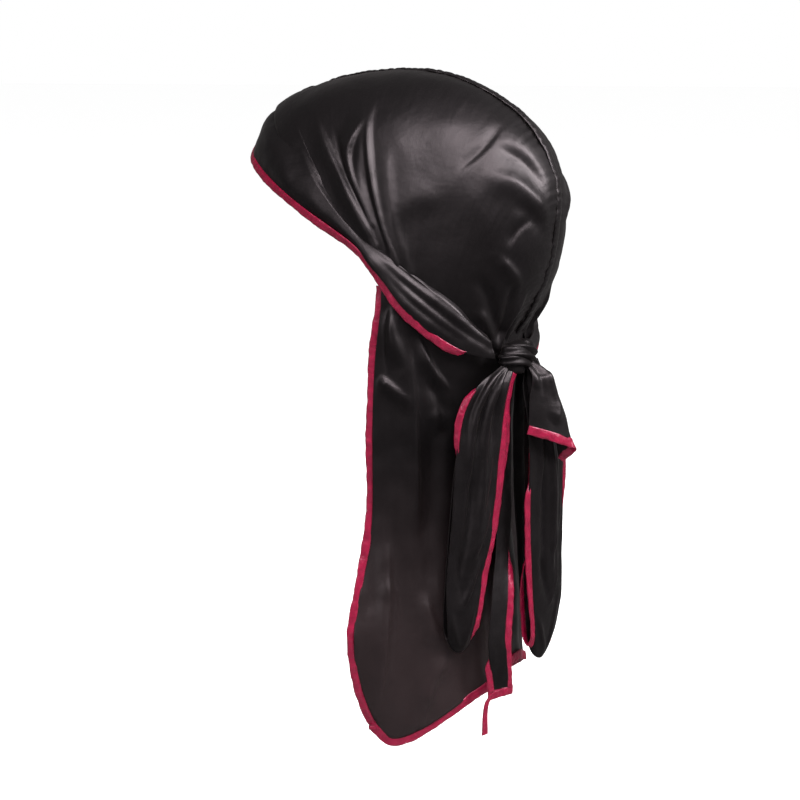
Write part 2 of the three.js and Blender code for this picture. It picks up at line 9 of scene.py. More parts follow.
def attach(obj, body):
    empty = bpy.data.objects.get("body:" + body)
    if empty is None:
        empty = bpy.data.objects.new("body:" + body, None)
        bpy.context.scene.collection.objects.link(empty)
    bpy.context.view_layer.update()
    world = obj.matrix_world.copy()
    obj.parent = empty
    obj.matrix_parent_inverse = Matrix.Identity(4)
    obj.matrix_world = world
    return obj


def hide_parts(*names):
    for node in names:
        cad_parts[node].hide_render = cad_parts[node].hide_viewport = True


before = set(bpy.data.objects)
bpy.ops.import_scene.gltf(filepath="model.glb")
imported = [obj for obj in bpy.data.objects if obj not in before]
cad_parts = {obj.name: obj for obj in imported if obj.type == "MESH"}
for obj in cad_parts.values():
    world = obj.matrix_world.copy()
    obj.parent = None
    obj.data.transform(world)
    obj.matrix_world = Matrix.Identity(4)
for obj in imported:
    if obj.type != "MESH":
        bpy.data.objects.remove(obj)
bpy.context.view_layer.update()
mm = 0.001

# the durag's main sizes, as the model has them
crownSize = {
    "reach": 110,
    "earBack": 18,
    "earDown": 105,
    "squareness": 2.5,
    "napeTurn": 215,
    "halfWidth": 76,
    "halfLength": 98,
    "seamWidth": 5,
    "gap": 0.35,
}
crownMiddle = np.array([0, 10, -105])
drops = {"strapLift": 2.6, "loop": 178, "tail": 208, "flapFrom": 110, "flap": 293, "tag": 20}
knotSize = {"at": (14.3, 99.7, -168), "width": 41, "depth": 13, "height": 23, "twist": 12}


def mix(a, b, share):
    return a + (b - a) * share


def smooth(low, high, value):
    share = np.clip((value - low) / (high - low), 0, 1)
    return share * share * (3 - 2 * share)


def place(x, y, z):
    return np.stack(np.broadcast_arrays(x, y, z), -1).astype(float)


def unit(v):
    return v / np.maximum(np.linalg.norm(v, axis=-1, keepdims=True), 1e-12)


# a table's rows as dictionaries; a short row leaves out its last columns
def tableOf(columns, *rows):
    return [dict(zip(columns.split(), row)) for row in rows]


# a fold's half width, its height and the places that it runs through
def crease(width, height, *path, **more):
    return {"width": width, "height": height, "path": path, **more}


# the value of a column on a smooth curve through a table's rows
def readRows(rows, key, column, at):
    at = np.asarray(at, float)
    keys = np.array([row[key] for row in rows], float)
    values = np.array([row.get(column, 0) for row in rows], float)
    last = len(rows) - 1
    i = np.minimum(np.searchsorted(keys[1:], at), last - 1)
    before, after = np.maximum(i - 1, 0), np.minimum(i + 2, last)
    span = keys[i + 1] - keys[i]
    share = np.clip((at - keys[i]) / span, 0, 1)
    slopeA = (values[i + 1] - values[before]) / (keys[i + 1] - keys[before]) * span
    slopeB = (values[after] - values[i]) / (keys[after] - keys[i]) * span
    rise = values[i + 1] - values[i]
    bend = 3 * rise - 2 * slopeA - slopeB + share * (slopeA + slopeB - 2 * rise)
    return values[i] + share * (slopeA + share * bend)


def normalOf(surface, u, v):
    step = 1e-3
    alongU = surface(u + step, v) - surface(u - step, v)
    alongV = surface(u, v + step) - surface(u, v - step)
    return unit(np.cross(alongU, alongV))


# A surface with folds along lines on it. width is a fold's half width in mm, and steep
# that of its side left of the line; start and end are shares of its height at the ends.
def foldedSurface(surface, folds):
    lines = []
    for fold in folds:
        stops = [{"i": i, "u": u, "v": v} for i, (u, v) in enumerate(fold["path"])]
        at = np.linspace(0, len(stops) - 1, 13)
        if len(stops) == 2:
            us, vs = (np.linspace(stops[0][k], stops[1][k], 13) for k in "uv")
        else:
            us, vs = (readRows(stops, "i", k, at) for k in "uv")
        lines.append((fold, surface(us, vs)))

    def withFolds(u, v):
        flat = surface(u, v)
        normal = normalOf(surface, u, v)
        lift = np.zeros(flat.shape[:-1])
        for fold, line in lines:
            nearest = np.full(lift.shape, 1e9)
            along = np.zeros(lift.shape)
            side = np.zeros(lift.shape)
            for i in range(len(line) - 1):
                part = line[i + 1] - line[i]
                toPoint = flat - line[i]
                share = np.clip((toPoint @ part) / (part @ part), 0, 1)
                off = toPoint - share[..., None] * part
                away = np.linalg.norm(off, axis=-1)
                closer = away < nearest
                nearest = np.where(closer, away, nearest)
                along = np.where(closer, (i + share) / (len(line) - 1), along)
                turn = np.sum(np.cross(part, off) * normal, -1)
                side = np.where(closer, turn, side)
            width = np.where(side > 0, fold.get("steep", fold["width"]), fold["width"])
            ends = mix(fold.get("start", 0), 1, smooth(0, 0.4, along))
            ends = ends * mix(fold.get("end", 0), 1, 1 - smooth(0.6, 1, along))
            lift = lift + fold["height"] * ends * np.exp(-((nearest / width) ** 2))
        return flat + normal * lift[..., None]

    withFolds.flatSurface = surface
    return withFolds


# soft unevenness of the cloth: size is how far apart the rises are, height how high
def rippled(points, normals, ripples):
    moved = points.copy()
    for ripple in ripples:
        size, height = ripple["size"], ripple["height"]
        stretch = np.array(ripple.get("stretch", (1, 1, 1)))
        seed = Vector((ripple.get("seed", 0) * 7.3, 0, 0))
        lift = [noise.noise(Vector(p / size * stretch) + seed) for p in points]
        moved += normals * (np.array(lift) * height)[:, None]
    return moved


def finishMesh(name, bm, body="root"):
    mesh = bpy.data.meshes.new(name)
    bm.to_mesh(mesh)
    bm.free()
    mesh.polygons.foreach_set("use_smooth", [True] * len(mesh.polygons))
    piece = bpy.data.objects.new(name, mesh)
    bpy.context.scene.collection.objects.link(piece)
    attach(piece, body)
    return piece


# a grid to shape, and where each of its points lies on it, from 0 to 1
def flatGrid(across, down):
    bm = bmesh.new()
    bmesh.ops.create_grid(bm, x_segments=across, y_segments=down, size=1)
    return bm, np.array([vert.co[:2] for vert in bm.verts]) * 0.5 + 0.5


def movePoints(bm, points):
    for vert, point in zip(bm.verts, points * mm):
        vert.co = point


# closes a shaped grid up into a skin
def closedSkin(name, bm, uvs, merge, sides):
    uvLayer = bm.loops.layers.uv.new("cloth")
    bm.verts.index_update()
    for face in bm.faces:
        for loop in face.loops:
            loop[uvLayer].uv = uvs[loop.vert.index]
    bmesh.ops.remove_doubles(bm, verts=bm.verts, dist=merge)
    bmesh.ops.holes_fill(bm, edges=[edge for edge in bm.edges if edge.is_boundary], sides=sides)
    bmesh.ops.recalc_face_normals(bm, faces=bm.faces)
    return finishMesh(name, bm)


# A sheet over a part of a surface, with its UV map in metres of cloth.
def clothSheet(name, surface, settings, ripples=(), shape=None):
    across, down = settings["across"], settings["down"]
    (u0, u1), (v0, v1) = settings["u"], settings["v"]
    bm, flat = flatGrid(across, down)
    u, v = mix(u0, u1, flat[:, 0]), mix(v0, v1, flat[:, 1])
    points = surface(u, v)
    normals = normalOf(getattr(surface, "flatSurface", surface), u, v)
    if ripples:
        points = rippled(points, normals, ripples)
    if shape:
        points = shape(u, v, points, normals)
    movePoints(bm, points)
    piece = finishMesh(name, bm)
    mesh = piece.data
    middleV = (v0 + v1) / 2
    steps = np.linspace(u0, u1, 60)
    long = np.linalg.norm(np.diff(surface(steps, np.full(60, middleV)), axis=0), axis=1).sum()
    steps = np.linspace(v0, v1, 60)
    middleU = np.full(60, (u0 + u1) / 2)
    wide = np.linalg.norm(np.diff(surface(middleU, steps), axis=0), axis=1).sum()
    corners = np.zeros(len(mesh.loops), int)
    mesh.loops.foreach_get("vertex_index", corners)
    uvMap = mesh.uv_layers.new(name="cloth")
    uvMap.data.foreach_set("uv", (flat[corners] * [long * mm, wide * mm]).ravel())
    wall = piece.modifiers.new("wall", "SOLIDIFY")
    wall.thickness = settings.get("wall", 0.6) * mm
    wall.offset = settings.get("offset", 0)
    return piece


# a tape lies from 1 mm in on the cloth to 4.9 mm past its edge, pulled in by its stitches
tapeForm = {
    "from": -1.0,
    "to": 4.9,
    "thick": 1.3,
    "around": 14,
    "stitchGap": 6.3,
    "pull": 0.12,
    "ruffleLength": 13,
    "tuckedIn": 4.2,
    "tuckedDeep": 4.5,
    "tuckedShare": 0.15,
}


# A bias tape folded over a sheet's edge. path gives the place on the edge for 0 to 1, with
# the cloth on its right as seen from outside. tuck turns the tape in behind the cloth, in
# rows of a share of the path and degrees, and tuckedDeep is how far behind it then lies.
def edgeTape(name, surface, path, settings):
    form = {**tapeForm, **settings}
    steps, around = form["steps"], form["around"]
    share = np.linspace(0, 1, steps + 1)
    step = 1e-3
    before, edge, after = (surface(*path(share + d)) for d in (-step, 0, step))
    ahead = unit(after - before)
    normal = normalOf(getattr(surface, "flatSurface", surface), *path(share))
    out = unit(np.cross(normal, ahead))
    shown = np.ones_like(share)
    if "tuck" in form:
        turn = np.radians(readRows(tableOf("share turn", *form["tuck"]), "share", "turn", share))[:, None]
        shown = 1 - (1 - form["tuckedShare"]) * smooth(0, 1.3, turn[:, 0])
        shift = out * form["tuckedIn"] + normal * np.sin(turn) * form["tuckedDeep"]
        edge = edge - shift * smooth(0.5, 2, turn)
        out, normal = (
            out * np.cos(turn) - normal * np.sin(turn),
            normal * np.cos(turn) + out * np.sin(turn),
        )
    run = np.concatenate([[0], np.cumsum(np.linalg.norm(np.diff(edge, axis=0), axis=1))])

    angle = np.linspace(0, 2 * math.pi, around + 1)
    cosA, sinA = np.cos(angle), np.sin(angle)
    low, high = form["from"], form["to"]
    across = np.sign(cosA) * np.abs(cosA) ** 0.8
    # the tape pulls in between its stitches, and lies a little uneven
    stitches = np.sin(run * 2 * math.pi / form["stitchGap"] + 2 * np.sin(run * 0.13))
    pull = stitches * (0.6 + 0.4 * np.sin(run * 0.37))
    uneven = 0.3 * np.sin(run * 0.11 + form.get("seed", 0)) + 0.15 * np.sin(run * 0.47)
    away = mix(low, high * shown[:, None], (across[None] + 1) / 2)
    away = away + ((form["pull"] * pull + uneven * shown)[:, None]) * (across > 0)
    height = (np.sign(sinA) * np.abs(sinA) ** 0.7)[None] * form["thick"] / 2
    height = height * (1 + 0.16 * pull[:, None]) * (0.3 + 0.7 * shown[:, None])
    wave = np.sin(run / form["ruffleLength"] + 1.7 * np.sin(run * 0.043))
    height = height + form.get("ruffle", 0) * wave[:, None] * (across[None] + 1) / 2
    points = edge[:, None] + out[:, None] * away[..., None] + normal[:, None] * height[..., None]

    bm, flat = flatGrid(steps, around)
    i, j = np.rint(flat[:, 0] * steps).astype(int), np.rint(flat[:, 1] * around).astype(int)
    movePoints(bm, points[i, j])
    uvs = np.stack([run[i] * mm, flat[:, 1] * 2 * (high - low) * mm], -1)
    return closedSkin(name, bm, uvs, 1e-7, around + 2)


# the satin
satinLook = {
    "dark": (0.0008, 0.0007, 0.0008, 1),
    "light": (0.0018, 0.0015, 0.0016, 1),
    "roughness": (0.34, 0.48),
    "sheen": 0.012,
    "sheenRoughness": 0.45,
    "sheenTint": (0.75, 0.6, 0.58, 1),
    "specular": 0.25,
    "specularTint": (1.0, 0.85, 0.9, 1),
    "crinkle": 55.0,
    "patches": 14.0,
    "floats": (2600, 160, 1),
    "slub": (620, 24, 1),
    "floatBump": {"Strength": 0.35, "Distance": 0.00012},
    "crinkleBump": {"Strength": 0.5, "Distance": 0.0012},
}


def newMaterial(name):
    material = bpy.data.materials.new(name)
    material.use_nodes = True
    nodes, links = material.node_tree.nodes, material.node_tree.links
    shader = nodes["Principled BSDF"]

    def add(kind, **values):
        node = nodes.new(kind)
        for key, value in values.items():
            if key in node.inputs:
                node.inputs[key].default_value = value
            else:
                setattr(node, key, value)
        return node

    return material, shader, add, links.new


def satinMaterial(name, look, paintedLightThrough=None):
    material, shader, add, link = newMaterial(name)
    uv = add("ShaderNodeUVMap", uv_map="cloth")
    objectAt = add("ShaderNodeTexCoord")
    # long floats of the satin's face threads, with a little slub
    threads = add("ShaderNodeMapping")
    threads.inputs["Scale"].default_value = look["floats"]
    link(uv.outputs["UV"], threads.inputs["Vector"])
    floats = add("ShaderNodeTexNoise", Scale=1.0, Detail=3.0, Roughness=0.6)
    link(threads.outputs["Vector"], floats.inputs["Vector"])
    slub = add("ShaderNodeMapping")
    slub.inputs["Scale"].default_value = look["slub"]
    link(uv.outputs["UV"], slub.inputs["Vector"])
    streaks = add("ShaderNodeTexNoise", Scale=1.0, Detail=2.0, Roughness=0.5)
    link(slub.outputs["Vector"], streaks.inputs["Vector"])
    crinkle = add("ShaderNodeTexNoise", Scale=look["crinkle"], Detail=3.0, Roughness=0.55)
    link(objectAt.outputs["Object"], crinkle.inputs["Vector"])
    patches = add("ShaderNodeTexNoise", Scale=look["patches"], Detail=2.0, Roughness=0.5)
    link(objectAt.outputs["Object"], patches.inputs["Vector"])
    tone = add("ShaderNodeMix", data_type="RGBA")
    tone.inputs[6].default_value = look["dark"]
    tone.inputs[7].default_value = look["light"]
    link(patches.outputs["Fac"], tone.inputs[0])
    colour = tone.outputs[2]
    if paintedLightThrough:
        # painted light: one layer of thin satin shows a little brown against the light, so the base
        # colour is mixed towards brown lower down
        height = add("ShaderNodeSeparateXYZ")
        link(objectAt.outputs["Object"], height.inputs["Vector"])
        low = add("ShaderNodeMapRange")
        low.inputs["From Min"].default_value = paintedLightThrough["from"]
        low.inputs["From Max"].default_value = paintedLightThrough["to"]
        link(height.outputs["Z"], low.inputs["Value"])
        warm = add("ShaderNodeMix", data_type="RGBA")
        warm.inputs[7].default_value = paintedLightThrough["colour"]
        link(low.outputs["Result"], warm.inputs[0])
        link(colour, warm.inputs[6])
        colour = warm.outputs[2]
    link(colour, shader.inputs["Base Color"])
    rough = add("ShaderNodeMapRange")
    rough.inputs["To Min"].default_value = look["roughness"][0]
    rough.inputs["To Max"].default_value = look["roughness"][1]
    link(streaks.outputs["Fac"], rough.inputs["Value"])
    link(rough.outputs["Result"], shader.inputs["Roughness"])
    fine = add("ShaderNodeBump", **look["floatBump"])
    link(floats.outputs["Fac"], fine.inputs["Height"])
    medium = add("ShaderNodeBump", **look["crinkleBump"])
    link(crinkle.outputs["Fac"], medium.inputs["Height"])
    link(fine.outputs["Normal"], medium.inputs["Normal"])
    link(medium.outputs["Normal"], shader.inputs["Normal"])
    shader.inputs["Sheen Weight"].default_value = look["sheen"]
    shader.inputs["Sheen Roughness"].default_value = look["sheenRoughness"]
    shader.inputs["Sheen Tint"].default_value = look["sheenTint"]
    shader.inputs["Specular IOR Level"].default_value = look["specular"]
    shader.inputs["Specular Tint"].default_value = look["specularTint"]
    return material


tapeLook = {
    "dark": (0.045, 0.0004, 0.005, 1),
    "light": (0.165, 0.002, 0.02, 1),
    "threads": (1500, 120, 1),
    "patches": (170, 260, 1),
    "threadBump": {"Strength": 0.4, "Distance": 0.00012},
    "patchBump": {"Strength": 0.7, "Distance": 0.0018},
    "roughness": 0.36,
    "specular": 0.42,
    "specularTint": (1.0, 0.55, 0.7, 1),
}


def tapeMaterial(name, look):
    material, shader, add, link = newMaterial(name)
    uv = add("ShaderNodeUVMap", uv_map="cloth")
    # the tape is cut on the bias, so its threads run aslant
    bias = add("ShaderNodeMapping")
    bias.inputs["Rotation"].default_value = (0, 0, math.radians(45))
    bias.inputs["Scale"].default_value = look["threads"]
    link(uv.outputs["UV"], bias.inputs["Vector"])
    threads = add("ShaderNodeTexNoise", Scale=1.0, Detail=3.0, Roughness=0.6)
    link(bias.outputs["Vector"], threads.inputs["Vector"])
    uneven = add("ShaderNodeMapping")
    uneven.inputs["Scale"].default_value = look["patches"]
    link(uv.outputs["UV"], uneven.inputs["Vector"])
    patches = add("ShaderNodeTexNoise", Scale=1.0, Detail=2.0, Roughness=0.5)
    link(uneven.outputs["Vector"], patches.inputs["Vector"])
    tone = add("ShaderNodeMix", data_type="RGBA")
    tone.inputs[6].default_value = look["dark"]
    tone.inputs[7].default_value = look["light"]
    link(patches.outputs["Fac"], tone.inputs[0])
    link(tone.outputs[2], shader.inputs["Base Color"])
    fine = add("ShaderNodeBump", **look["threadBump"])
    link(threads.outputs["Fac"], fine.inputs["Height"])
    medium = add("ShaderNodeBump", **look["patchBump"])
    link(patches.outputs["Fac"], medium.inputs["Height"])
    link(fine.outputs["Normal"], medium.inputs["Normal"])
    link(medium.outputs["Normal"], shader.inputs["Normal"])
    shader.inputs["Roughness"].default_value = look["roughness"]
    shader.inputs["Specular IOR Level"].default_value = look["specular"]
    shader.inputs["Specular Tint"].default_value = look["specularTint"]
    return material


satin = satinMaterial("black satin", satinLook)
# the flap's colour turns brown from 0.22 m to 0.38 m down: painted light showing through the thin satin
flapPaintedLightThrough = {"from": -0.22, "to": -0.38, "colour": (0.0095, 0.0058, 0.006, 1)}
flapSatin = satinMaterial("thin black satin", satinLook, flapPaintedLightThrough)
# a copy of the satin with a lower specular level, so the knot shines less and looks darker: painted shade
# in the pinch
shadedKnotSatin = satinMaterial("black satin with painted shade in the pinch", {**satinLook, "specular": 0.12})
crimson = tapeMaterial("crimson tape", tapeLook)


def dress(piece, material, slot, *nodes):
    piece.data.materials.append(material)
    if nodes:
        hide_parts(*nodes)
    return piece


print("materials made")

# the crown's ribs run from the seam down to the rim, fanned round the ear
ribs = tableOf(
    "turn reach out back down",
    (27, 1.012, 71, 14, 98),
    (42, 1.09, 71, 19, 101),
    (60, 1.025, 70.5, 27, 106),
    (80, 0.962, 69, 36, 113),
    (100, 0.957, 66, 46, 122),
    (120, 0.967, 60, 56, 132),
    (140, 0.986, 54.5, 65.5, 141),
    (158, 0.953, 46.5, 74, 149),
    (175, 0.885, 38, 81, 155),
    (194, 0.835, 27, 87.5, 160),
    (215, 0.81, 13, 91, 164),
)


def seamPoint(turn):
    reach = crownSize["reach"] * readRows(ribs, "turn", "reach", turn)
    angle = np.radians(turn)
    back = crownSize["earBack"] - reach * np.cos(angle)
    return place(0, back, reach * np.sin(angle) - crownSize["earDown"])


def rimPoint(turn):
    out, back, down = (readRows(ribs, "turn", column, turn) for column in ("out", "back", "down"))
    return place(out, back, -down)


# side is 0 on the seam and 1 on the rim; past 1 it goes on down, 1 mm for each hundredth
def crown(turn, side):
    turn, side = np.broadcast_arrays(np.asarray(turn, float), np.asarray(side, float))
    rim, seam = rimPoint(turn), seamPoint(turn)
    angle = np.clip(side, 1e-4, 1) * math.pi / 2
    power = 2 / crownSize["squareness"]
    rise = (np.maximum(np.cos(angle), 0) ** power)[..., None]
    point = mix(rim * [0, 1, 1], seam, rise)
    point[..., 0] = rim[..., 0] * np.sin(angle) ** power
    nape = crownSize["napeTurn"]
    ahead = rimPoint(np.minimum(turn + 1, nape)) - rimPoint(np.minimum(turn, nape - 1))
    out = unit(rim * [1 / crownSize["halfWidth"] ** 2, 1 / crownSize["halfLength"] ** 2, 0])
    below = rim + unit(np.cross(ahead, out)) * ((side - 1) * 100)[..., None]
    return np.where((side > 1)[..., None], below, point)


def seamSide(turn):
    out = (crownSize["seamWidth"] / 2 + crownSize["gap"]) / readRows(ribs, "turn", "out", turn)
    return np.arcsin(out ** (crownSize["squareness"] / 2)) / (math.pi / 2)


# rise is 0 on the rim and 1 beside the seam
def panel(turn, rise):
    return crown(turn, mix(1, seamSide(turn), rise))


crownCut = {"across": 230, "down": 130, "u": (46, 216), "v": (-0.02, 1.0)}
# the pleats above the ear come first, then the dents towards the back and those by the knot
crownFolds = [
    crease(7, 2.8, (63, 0.56), (65, 0.4), (68, 0.25), (73, 0.13), (80, 0.04), steep=1.6, end=0.4),
    crease(2.2, -1.8, (70, 0.5), (71, 0.36), (72, 0.24), (77, 0.12), (85, 0.03), end=0.4),
    crease(6, 2.4, (86, 0.54), (80, 0.43), (75, 0.33), (75, 0.22), (80, 0.1), steep=1.8, end=0.4),
    crease(2.2, -1.9, (82, 0.36), (82, 0.24), (84, 0.13), (89, 0.04), end=0.4),
    crease(10, 3.4, (88, 0.66), (86, 0.48), (86, 0.32), (87, 0.18), (90, 0.09), (98, 0.03), steep=1.5,
           end=0.4),
    crease(2, -1.5, (84.5, 0.5), (83.8, 0.3), (85.5, 0.15), (90, 0.06), end=0.4),
    crease(6, 1.5, (95, 0.42), (95, 0.26), (98, 0.12), (108, 0.03), steep=3, end=0.8),
    crease(9, 1.7, (97, 0.1), (104, 0.2), (115, 0.26), (130, 0.28)),
    crease(4, -1.1, (133, 0.84), (132, 0.59), (125, 0.38), steep=1.6),
    crease(9, -2.6, (133, 0.6), (146, 0.75), (162, 0.87), steep=4.5),
    crease(8, 2.4, (134, 0.46), (146, 0.58), (160, 0.74), (172, 0.9), steep=5),
    crease(4.5, -1.2, (150, 0.5), (162, 0.66), (176, 0.84)),
    crease(4, -1.6, (164, 0.7), (161, 0.5), (162, 0.38), steep=2),
    crease(5, 1.9, (158, 0.3), (170, 0.37), (188, 0.5), steep=3, start=0.2),
    crease(3.2, -2.0, (176, 0.42), (186, 0.3), (197, 0.14), end=1),
    crease(4, -2.2, (150, 0.16), (170, 0.16), (192, 0.07), end=1),
    crease(3, 1.8, (160, 0.06), (176, 0.08), (195, 0.03), end=1),
    crease(3.4, -2.2, (199, 0.56), (205, 0.36), (208, 0.14), end=1),
    crease(3.4, 1.8, (190, 0.66), (197, 0.4), (202, 0.14), steep=2, end=1),
]
crownRipples = [
    {"size": 36, "height": 1.4, "seed": 1},
    {"size": 14, "height": 0.3, "seed": 2},
]
napeDrop = 6  # the rim goes this much further down behind the knot


# where the seam's stitches pull hard and where they don't
def stitchPull(turn):
    return np.sin(turn * 1.15 + 3 * np.sin(turn * 0.31))


# small gathers that the stitches pull into the cloth beside the seam
def seamPuckers(turn, rise, points, normals):
    away = np.linalg.norm(points - seamPoint(turn), axis=-1)
    strength = np.exp(-away / 9) * (0.35 + 0.65 * smooth(60, 150, turn))
    wave = stitchPull(turn) + 0.6 * np.sin(turn * 2.3 + 1)
    points[:, 2] -= napeDrop * smooth(186, 204, turn) * (1 - smooth(0, 0.14, rise))
    return points + normals * (strength * wave * 0.42)[:, None]


crownCloth = foldedSurface(panel, crownFolds)


def mirrorPiece(piece, name):
    bm = bmesh.new()
    bm.from_mesh(piece.data)
    bmesh.ops.scale(bm, vec=(-1, 1, 1), verts=bm.verts)
    bmesh.ops.reverse_faces(bm, faces=bm.faces)
    copy = finishMesh(name, bm)
    for modifier in piece.modifiers:
        wall = copy.modifiers.new(modifier.name, modifier.type)
        if modifier.type == "SOLIDIFY":
            wall.thickness, wall.offset = modifier.thickness, -modifier.offset
    return copy


crownLeft = clothSheet("crownLeftPanel", crownCloth, crownCut, crownRipples, seamPuckers)
crownRight = mirrorPiece(crownLeft, "crownRightPanel")
dress(crownLeft, satin, "satin", "crown_left")
dress(crownRight, satin, "satin", "crown_right")
print("crown made")

# the front of the crown goes on over the ear as the strap; its two edges are places on the crown
strapRows = tableOf(
    "along lowTurn lowSide upTurn upSide bulge flare lift in",
    (0, 31, 0, 53, 0, 3.4),
    (0.04, 31, 0.06, 53, 0.07, 3.4),
    (0.1, 31, 0.2, 53, 0.24, 3.4),
    (0.2, 31, 0.42, 53, 0.48, 3.4),
    (0.3, 31, 0.64, 53, 0.7, 3.4),
    (0.4, 31, 0.82, 54, 0.86, 1.6),
    (0.52, 36, 1, 64, 0.955, 1.6, 0.6),
    (0.64, 80, 1.035, 84, 0.965, 2, 2.4),
    (0.76, 118, 1.09, 112, 0.965, 2.2, 3.4),
    (0.88, 158, 1.09, 148, 0.965, 2, 3.4, 3.2),
    (0.96, 185, 1.055, 176, 0.975, 1.4, 2.4, 4.5),
    (1, 200, 1.03, 194, 0.98, 1, 1.6, 6),
    (1.06, 214, 1.03, 212, 0.9, 0.6, 1.2, 8.5, 6.8),
)
strapSections = []
for row in strapRows:
    low, up = crown(row["lowTurn"], row["lowSide"]), crown(row["upTurn"], row["upSide"])
    section = {"along": row["along"], "bulge": row["bulge"], "flare": row.get("flare", 0)}
    section["lift"] = row.get("lift", drops["strapLift"])
    inward = np.array([row.get("in", 0), 0, 0])
    for axis, lowAt, upAt in zip("XYZ", low - inward, up - inward):
        section["low" + axis], section["up" + axis] = lowAt, upAt
    strapSections.append(section)


# along runs from the forehead to the knot, rise from the lower edge to the upper one
def strapSheet(along, rise):
    def at(column):
        return readRows(strapSections, "along", column, along)

    rise = np.asarray(rise, float)
    low = place(at("lowX"), at("lowY"), at("lowZ"))
    up = place(at("upX"), at("upY"), at("upZ"))
    out = unit(low + up - 2 * crownMiddle)
    bulge = at("bulge") * 4 * rise * (1 - rise)
    # the front lies flush with the crown above it; the strap's edge is folded under
    flush = (1 - smooth(0.2, 0.36, along)) * smooth(0.45, 1, rise)
    under = smooth(0.22, 0.4, along) * smooth(0.97, 1.08, rise) * 3.4
    lift = (at("lift") + bulge) * (1 - flush) + at("flare") * (1 - rise) ** 2 - under - 1.2 * flush
    return mix(low, up, rise[..., None]) + out * lift[..., None]


strapCut = {"across": 300, "down": 56, "v": (0, 1.1)}
# long folds that run with the strap to the knot
strapFolds = [
    crease(4, -0.9, (0.2, 0.1), (0.45, 0.12), (0.6, 0.16), start=0.5),
    crease(3.2, 0.8, (0.5, 0.86), (0.66, 0.8), (0.81, 0.79), (0.97, 0.8), steep=2.2, end=0.6),
    crease(2.8, -1.3, (0.52, 0.66), (0.66, 0.62), (0.8, 0.62), (0.97, 0.57), end=0.8),
    crease(2.8, 0.9, (0.5, 0.45), (0.66, 0.48), (0.8, 0.5), (0.95, 0.48), end=0.5),
    crease(2.6, -0.9, (0.58, 0.3), (0.72, 0.34), (0.9, 0.36), end=0.5),
    crease(3, 0.9, (0.5, 0.2), (0.68, 0.18), (0.86, 0.2), end=0.5),
    crease(2.2, -1.0, (0.56, 0.98), (0.7, 0.9), (0.84, 0.92)),
]
strapCloth = foldedSurface(strapSheet, strapFolds)
strapRipples = [{"size": 22, "height": 0.9, "seed": 4}, {"size": 9, "height": 0.35, "seed": 5}]
knotLeft, knotRight = 0.976, 1.06
strapLeft = clothSheet("strapLeft", strapCloth, {**strapCut, "u": (0, knotLeft)}, strapRipples)
strapRightCopy = clothSheet("strapRightCut", strapCloth, {**strapCut, "u": (0, knotRight)}, strapRipples)
strapRight = mirrorPiece(strapRightCopy, "strapRight")
bpy.data.objects.remove(strapRightCopy)
dress(strapLeft, satin, "satin", "strap_left")
dress(strapRight, satin, "satin", "strap_right")


def strapBoth(along, rise):
    along = np.asarray(along, float)
    side = np.where(along < 0, -1, 1)
    point = strapSheet(np.abs(along), rise)
    point[..., 0] = point[..., 0] * side
    return point


def frontEdge(share):
    return mix(knotLeft - 0.02, 0.02 - knotRight, share), np.zeros_like(share)


frontTapeLook = {
    "steps": 420,
    "to": 4.4,
    "ruffle": 0.35,
    "ruffleLength": 17,
    "tuck": [(0, 150), (0.012, 110), (0.03, 30), (0.06, 0), (1, 0)],
}
frontTape = edgeTape("frontTape", strapBoth, frontEdge, frontTapeLook)
dress(frontTape, crimson, "binding", "front_binding")
print("straps made")

# the seam over the head
seamLook = {"lift": 0.35, "height": 0.9}


def seamRidge(turn, across):
    angle = np.radians(turn)
    front = drops["strapLift"] * (1 - smooth(40, 58, turn)) * 0.9
    pucker = 0.22 * stitchPull(turn) + 0.12 * np.sin(turn * 2.9)
    lift = seamLook["lift"] + (seamLook["height"] + pucker) * np.clip(1 - across**2, 0, 1) ** 0.6 + front
    point = seamPoint(turn) + place(0, -np.cos(angle), np.sin(angle)) * lift[..., None]
    wander = 0.5 * np.sin(turn * 0.23) + 0.3 * np.sin(turn * 0.71)
    point[..., 0] = -across * (crownSize["seamWidth"] / 2 + 1.2) + wander
    return point


seamCut = {"across": 420, "down": 10, "u": (31.5, 216), "v": (-1, 1), "wall": 0.8}
seam = clothSheet("centreSeam", seamRidge, seamCut)
dress(seam, satin, "satin", "centre_seam")
print("seam made")

# the neck flap hangs from the rim: its sections at the crown, the neck, the flare and the hem
flapRows = tableOf(
    "around turn topOut rise neckOut neckBack flareOut flareBack hemOut hemBack hem",
    (0, 215, 0, 14, 0, 84, 0, 90, 0, 93, 0.87),
    (0.1, 208, 0.8, 8, 10, 83.5, 11, 89.5, 12, 92, 0.875),
    (0.25, 186, 1, 0, 24, 80, 27, 86, 28, 88, 0.9),
    (0.5, 150, 1, 0, 45, 69, 50, 74, 50, 75, 0.94),
    (0.75, 112, 1, 0, 62, 52, 71, 55, 66, 57, 0.985),
    (0.9, 91, 1, 0, 69, 39, 85, 39, 74, 44, 1),
    (1, 81, 1, 0, 73, 30.5, 93, 28, 79, 35, 0.97),
)
flapFall = tableOf(
    "fall neck flare hem",
    (0, 0),
    (0.07, 0.1),
    (0.18, 0.7),
    (0.32, 1),
    (0.54, 0.94, 0.06),
    (0.67, 0.4, 0.6),
    (0.78, 0, 1),
    (0.9, 0, 0.75, 0.25),
    (1, 0, 0, 1),
)


